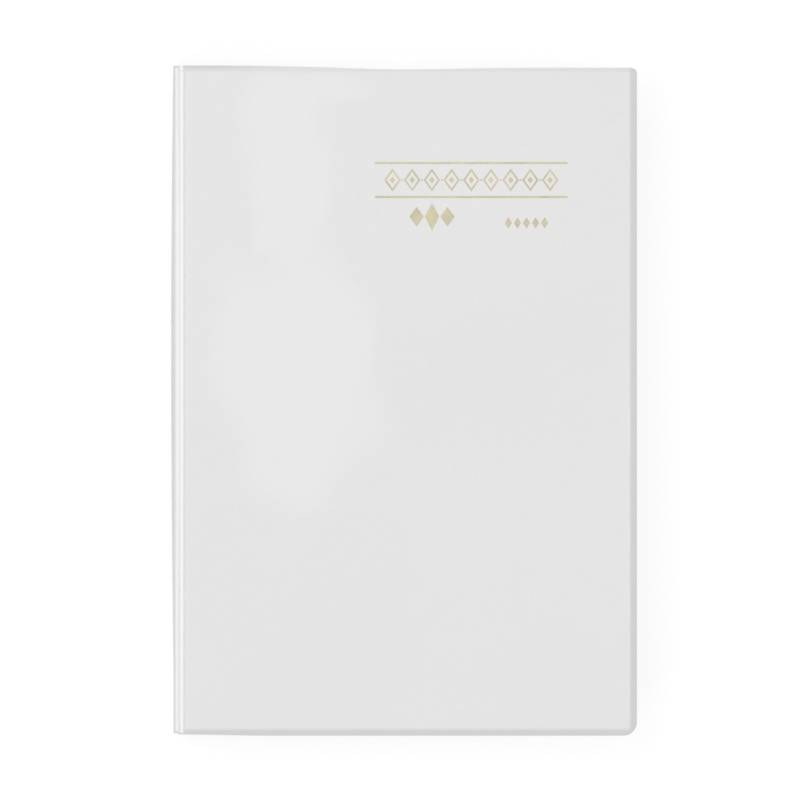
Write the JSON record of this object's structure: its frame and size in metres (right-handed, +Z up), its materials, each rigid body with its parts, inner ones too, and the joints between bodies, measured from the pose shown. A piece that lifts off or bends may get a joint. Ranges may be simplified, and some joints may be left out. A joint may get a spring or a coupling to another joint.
{
  "type": "clear pocket display book",
  "caption": "Shut display book with pale translucent covers, a creased spine and a stack of clear film pockets that fan open on a welded binding strip.",
  "frame": {"origin": "middle of the shut book's footprint, on the surface that the back cover lies on", "axes": "+X from the spine to the fore edge, +Y from the foot to the head of the page, +Z up through the pockets to the front cover"},
  "size_m": [0.24, 0.347, 0.0269],
  "materials": {
    "cover_sheet": "satin translucent white sheet",
    "binding_plastic": "milky welded plastic",
    "clear_film": "clear glossy film"
  },
  "bodies": {
    "back_cover": {"back_cover": "cover_sheet"},
    "spine": {"spine": "cover_sheet", "binding_strip": "binding_plastic"},
    "front_cover": {"front_cover": "cover_sheet"},
    "pocket_01": {"pocket_01": "clear_film"},
    "pocket_02": {"pocket_02": "clear_film"},
    "pocket_03": {"pocket_03": "clear_film"},
    "pocket_04": {"pocket_04": "clear_film"},
    "pocket_05": {"pocket_05": "clear_film"},
    "pocket_06": {"pocket_06": "clear_film"},
    "pocket_07": {"pocket_07": "clear_film"},
    "pocket_08": {"pocket_08": "clear_film"},
    "pocket_09": {"pocket_09": "clear_film"},
    "pocket_10": {"pocket_10": "clear_film"},
    "pocket_11": {"pocket_11": "clear_film"},
    "pocket_12": {"pocket_12": "clear_film"},
    "pocket_13": {"pocket_13": "clear_film"},
    "pocket_14": {"pocket_14": "clear_film"},
    "pocket_15": {"pocket_15": "clear_film"},
    "pocket_16": {"pocket_16": "clear_film"},
    "pocket_17": {"pocket_17": "clear_film"},
    "pocket_18": {"pocket_18": "clear_film"},
    "pocket_19": {"pocket_19": "clear_film"},
    "pocket_20": {"pocket_20": "clear_film"},
    "pocket_21": {"pocket_21": "clear_film"},
    "pocket_22": {"pocket_22": "clear_film"},
    "pocket_23": {"pocket_23": "clear_film"},
    "pocket_24": {"pocket_24": "clear_film"},
    "pocket_25": {"pocket_25": "clear_film"},
    "pocket_26": {"pocket_26": "clear_film"},
    "pocket_27": {"pocket_27": "clear_film"},
    "pocket_28": {"pocket_28": "clear_film"},
    "pocket_29": {"pocket_29": "clear_film"},
    "pocket_30": {"pocket_30": "clear_film"},
    "pocket_31": {"pocket_31": "clear_film"},
    "pocket_32": {"pocket_32": "clear_film"},
    "pocket_33": {"pocket_33": "clear_film"},
    "pocket_34": {"pocket_34": "clear_film"},
    "pocket_35": {"pocket_35": "clear_film"},
    "pocket_36": {"pocket_36": "clear_film"},
    "pocket_37": {"pocket_37": "clear_film"},
    "pocket_38": {"pocket_38": "clear_film"},
    "pocket_39": {"pocket_39": "clear_film"},
    "pocket_40": {"pocket_40": "clear_film"}
  },
  "joints": [
    {"name": "back_hinge", "type": "hinge", "parent": "back_cover", "child": "spine", "pos_m": [-0.1186, 0, 0.0014], "axis": [0, -1, 0], "range_deg": [0, 90]},
    {"name": "front_hinge", "type": "hinge", "parent": "spine", "child": "front_cover", "pos_m": [-0.1186, 0, 0.02545], "axis": [0, -1, 0], "range_deg": [0, 90]},
    {"name": "pocket_01_turn", "type": "hinge", "parent": "spine", "child": "pocket_01", "pos_m": [-0.1157, 0, 0.02513], "axis": [0, -1, 0], "range_deg": [0, 50]},
    {"name": "pocket_02_turn", "type": "hinge", "parent": "spine", "child": "pocket_02", "pos_m": [-0.1157, 0, 0.02453], "axis": [0, -1, 0], "range_deg": [0, 47.5]},
    {"name": "pocket_03_turn", "type": "hinge", "parent": "spine", "child": "pocket_03", "pos_m": [-0.1157, 0, 0.02392], "axis": [0, -1, 0], "range_deg": [0, 45]},
    {"name": "pocket_04_turn", "type": "hinge", "parent": "spine", "child": "pocket_04", "pos_m": [-0.1157, 0, 0.02332], "axis": [0, -1, 0], "range_deg": [0, 42.5]},
    {"name": "pocket_05_turn", "type": "hinge", "parent": "spine", "child": "pocket_05", "pos_m": [-0.1157, 0, 0.02272], "axis": [0, -1, 0], "range_deg": [0, 40]},
    {"name": "pocket_06_turn", "type": "hinge", "parent": "spine", "child": "pocket_06", "pos_m": [-0.1157, 0, 0.02212], "axis": [0, -1, 0], "range_deg": [0, 37.5]},
    {"name": "pocket_07_turn", "type": "hinge", "parent": "spine", "child": "pocket_07", "pos_m": [-0.1157, 0, 0.02152], "axis": [0, -1, 0], "range_deg": [0, 35]},
    {"name": "pocket_08_turn", "type": "hinge", "parent": "spine", "child": "pocket_08", "pos_m": [-0.1157, 0, 0.02092], "axis": [0, -1, 0], "range_deg": [0, 32.5]},
    {"name": "pocket_09_turn", "type": "hinge", "parent": "spine", "child": "pocket_09", "pos_m": [-0.1157, 0, 0.02032], "axis": [0, -1, 0], "range_deg": [0, 30]},
    {"name": "pocket_10_turn", "type": "hinge", "parent": "spine", "child": "pocket_10", "pos_m": [-0.1157, 0, 0.01972], "axis": [0, -1, 0], "range_deg": [0, 27.5]},
    {"name": "pocket_11_turn", "type": "hinge", "parent": "spine", "child": "pocket_11", "pos_m": [-0.1157, 0, 0.01912], "axis": [0, -1, 0], "range_deg": [0, 25]},
    {"name": "pocket_12_turn", "type": "hinge", "parent": "spine", "child": "pocket_12", "pos_m": [-0.1157, 0, 0.01852], "axis": [0, -1, 0], "range_deg": [0, 22.5]},
    {"name": "pocket_13_turn", "type": "hinge", "parent": "spine", "child": "pocket_13", "pos_m": [-0.1157, 0, 0.01792], "axis": [0, -1, 0], "range_deg": [0, 20]},
    {"name": "pocket_14_turn", "type": "hinge", "parent": "spine", "child": "pocket_14", "pos_m": [-0.1157, 0, 0.01733], "axis": [0, -1, 0], "range_deg": [0, 17.5]},
    {"name": "pocket_15_turn", "type": "hinge", "parent": "spine", "child": "pocket_15", "pos_m": [-0.1157, 0, 0.01673], "axis": [0, -1, 0], "range_deg": [0, 15]},
    {"name": "pocket_16_turn", "type": "hinge", "parent": "spine", "child": "pocket_16", "pos_m": [-0.1157, 0, 0.01613], "axis": [0, -1, 0], "range_deg": [0, 12.5]},
    {"name": "pocket_17_turn", "type": "hinge", "parent": "spine", "child": "pocket_17", "pos_m": [-0.1157, 0, 0.01553], "axis": [0, -1, 0], "range_deg": [0, 10]},
    {"name": "pocket_18_turn", "type": "hinge", "parent": "spine", "child": "pocket_18", "pos_m": [-0.1157, 0, 0.01493], "axis": [0, -1, 0], "range_deg": [0, 7.5]},
    {"name": "pocket_19_turn", "type": "hinge", "parent": "spine", "child": "pocket_19", "pos_m": [-0.1157, 0, 0.01432], "axis": [0, -1, 0], "range_deg": [0, 5]},
    {"name": "pocket_20_turn", "type": "hinge", "parent": "spine", "child": "pocket_20", "pos_m": [-0.1157, 0, 0.01372], "axis": [0, -1, 0], "range_deg": [0, 2.5]},
    {"name": "pocket_21_turn", "type": "hinge", "parent": "spine", "child": "pocket_21", "pos_m": [-0.1157, 0, 0.01312], "axis": [0, -1, 0], "range_deg": [-2.5, 0]},
    {"name": "pocket_22_turn", "type": "hinge", "parent": "spine", "child": "pocket_22", "pos_m": [-0.1157, 0, 0.01252], "axis": [0, -1, 0], "range_deg": [-5, 0]},
    {"name": "pocket_23_turn", "type": "hinge", "parent": "spine", "child": "pocket_23", "pos_m": [-0.1157, 0, 0.01192], "axis": [0, -1, 0], "range_deg": [-7.5, 0]},
    {"name": "pocket_24_turn", "type": "hinge", "parent": "spine", "child": "pocket_24", "pos_m": [-0.1157, 0, 0.01132], "axis": [0, -1, 0], "range_deg": [-10, 0]},
    {"name": "pocket_25_turn", "type": "hinge", "parent": "spine", "child": "pocket_25", "pos_m": [-0.1157, 0, 0.01073], "axis": [0, -1, 0], "range_deg": [-12.5, 0]},
    {"name": "pocket_26_turn", "type": "hinge", "parent": "spine", "child": "pocket_26", "pos_m": [-0.1157, 0, 0.01013], "axis": [0, -1, 0], "range_deg": [-15, 0]},
    {"name": "pocket_27_turn", "type": "hinge", "parent": "spine", "child": "pocket_27", "pos_m": [-0.1157, 0, 0.00953], "axis": [0, -1, 0], "range_deg": [-17.5, 0]},
    {"name": "pocket_28_turn", "type": "hinge", "parent": "spine", "child": "pocket_28", "pos_m": [-0.1157, 0, 0.00893], "axis": [0, -1, 0], "range_deg": [-20, 0]},
    {"name": "pocket_29_turn", "type": "hinge", "parent": "spine", "child": "pocket_29", "pos_m": [-0.1157, 0, 0.00833], "axis": [0, -1, 0], "range_deg": [-22.5, 0]},
    {"name": "pocket_30_turn", "type": "hinge", "parent": "spine", "child": "pocket_30", "pos_m": [-0.1157, 0, 0.00773], "axis": [0, -1, 0], "range_deg": [-25, 0]},
    {"name": "pocket_31_turn", "type": "hinge", "parent": "spine", "child": "pocket_31", "pos_m": [-0.1157, 0, 0.00713], "axis": [0, -1, 0], "range_deg": [-27.5, 0]},
    {"name": "pocket_32_turn", "type": "hinge", "parent": "spine", "child": "pocket_32", "pos_m": [-0.1157, 0, 0.00653], "axis": [0, -1, 0], "range_deg": [-30, 0]},
    {"name": "pocket_33_turn", "type": "hinge", "parent": "spine", "child": "pocket_33", "pos_m": [-0.1157, 0, 0.00592], "axis": [0, -1, 0], "range_deg": [-32.5, 0]},
    {"name": "pocket_34_turn", "type": "hinge", "parent": "spine", "child": "pocket_34", "pos_m": [-0.1157, 0, 0.00532], "axis": [0, -1, 0], "range_deg": [-35, 0]},
    {"name": "pocket_35_turn", "type": "hinge", "parent": "spine", "child": "pocket_35", "pos_m": [-0.1157, 0, 0.00473], "axis": [0, -1, 0], "range_deg": [-37.5, 0]},
    {"name": "pocket_36_turn", "type": "hinge", "parent": "spine", "child": "pocket_36", "pos_m": [-0.1157, 0, 0.00413], "axis": [0, -1, 0], "range_deg": [-40, 0]},
    {"name": "pocket_37_turn", "type": "hinge", "parent": "spine", "child": "pocket_37", "pos_m": [-0.1157, 0, 0.00352], "axis": [0, -1, 0], "range_deg": [-42.5, 0]},
    {"name": "pocket_38_turn", "type": "hinge", "parent": "spine", "child": "pocket_38", "pos_m": [-0.1157, 0, 0.00293], "axis": [0, -1, 0], "range_deg": [-45, 0]},
    {"name": "pocket_39_turn", "type": "hinge", "parent": "spine", "child": "pocket_39", "pos_m": [-0.1157, 0, 0.00232], "axis": [0, -1, 0], "range_deg": [-47.5, 0]},
    {"name": "pocket_40_turn", "type": "hinge", "parent": "spine", "child": "pocket_40", "pos_m": [-0.1157, 0, 0.00172], "axis": [0, -1, 0], "range_deg": [-50, 0]}
  ],
  "couplings": [
    {"joint": "pocket_01_turn", "follows": "front_hinge", "ratio": 0.55556},
    {"joint": "pocket_02_turn", "follows": "front_hinge", "ratio": 0.52778},
    {"joint": "pocket_03_turn", "follows": "front_hinge", "ratio": 0.5},
    {"joint": "pocket_04_turn", "follows": "front_hinge", "ratio": 0.47222},
    {"joint": "pocket_05_turn", "follows": "front_hinge", "ratio": 0.44444},
    {"joint": "pocket_06_turn", "follows": "front_hinge", "ratio": 0.41667},
    {"joint": "pocket_07_turn", "follows": "front_hinge", "ratio": 0.38889},
    {"joint": "pocket_08_turn", "follows": "front_hinge", "ratio": 0.36111},
    {"joint": "pocket_09_turn", "follows": "front_hinge", "ratio": 0.33333},
    {"joint": "pocket_10_turn", "follows": "front_hinge", "ratio": 0.30556},
    {"joint": "pocket_11_turn", "follows": "front_hinge", "ratio": 0.27778},
    {"joint": "pocket_12_turn", "follows": "front_hinge", "ratio": 0.25},
    {"joint": "pocket_13_turn", "follows": "front_hinge", "ratio": 0.22222},
    {"joint": "pocket_14_turn", "follows": "front_hinge", "ratio": 0.19444},
    {"joint": "pocket_15_turn", "follows": "front_hinge", "ratio": 0.16667},
    {"joint": "pocket_16_turn", "follows": "front_hinge", "ratio": 0.13889},
    {"joint": "pocket_17_turn", "follows": "front_hinge", "ratio": 0.11111},
    {"joint": "pocket_18_turn", "follows": "front_hinge", "ratio": 0.083333},
    {"joint": "pocket_19_turn", "follows": "front_hinge", "ratio": 0.055556},
    {"joint": "pocket_20_turn", "follows": "front_hinge", "ratio": 0.027778},
    {"joint": "pocket_21_turn", "follows": "back_hinge", "ratio": -0.027778},
    {"joint": "pocket_22_turn", "follows": "back_hinge", "ratio": -0.055556},
    {"joint": "pocket_23_turn", "follows": "back_hinge", "ratio": -0.083333},
    {"joint": "pocket_24_turn", "follows": "back_hinge", "ratio": -0.11111},
    {"joint": "pocket_25_turn", "follows": "back_hinge", "ratio": -0.13889},
    {"joint": "pocket_26_turn", "follows": "back_hinge", "ratio": -0.16667},
    {"joint": "pocket_27_turn", "follows": "back_hinge", "ratio": -0.19444},
    {"joint": "pocket_28_turn", "follows": "back_hinge", "ratio": -0.22222},
    {"joint": "pocket_29_turn", "follows": "back_hinge", "ratio": -0.25},
    {"joint": "pocket_30_turn", "follows": "back_hinge", "ratio": -0.27778},
    {"joint": "pocket_31_turn", "follows": "back_hinge", "ratio": -0.30556},
    {"joint": "pocket_32_turn", "follows": "back_hinge", "ratio": -0.33333},
    {"joint": "pocket_33_turn", "follows": "back_hinge", "ratio": -0.36111},
    {"joint": "pocket_34_turn", "follows": "back_hinge", "ratio": -0.38889},
    {"joint": "pocket_35_turn", "follows": "back_hinge", "ratio": -0.41667},
    {"joint": "pocket_36_turn", "follows": "back_hinge", "ratio": -0.44444},
    {"joint": "pocket_37_turn", "follows": "back_hinge", "ratio": -0.47222},
    {"joint": "pocket_38_turn", "follows": "back_hinge", "ratio": -0.5},
    {"joint": "pocket_39_turn", "follows": "back_hinge", "ratio": -0.52778},
    {"joint": "pocket_40_turn", "follows": "back_hinge", "ratio": -0.55556}
  ]
}
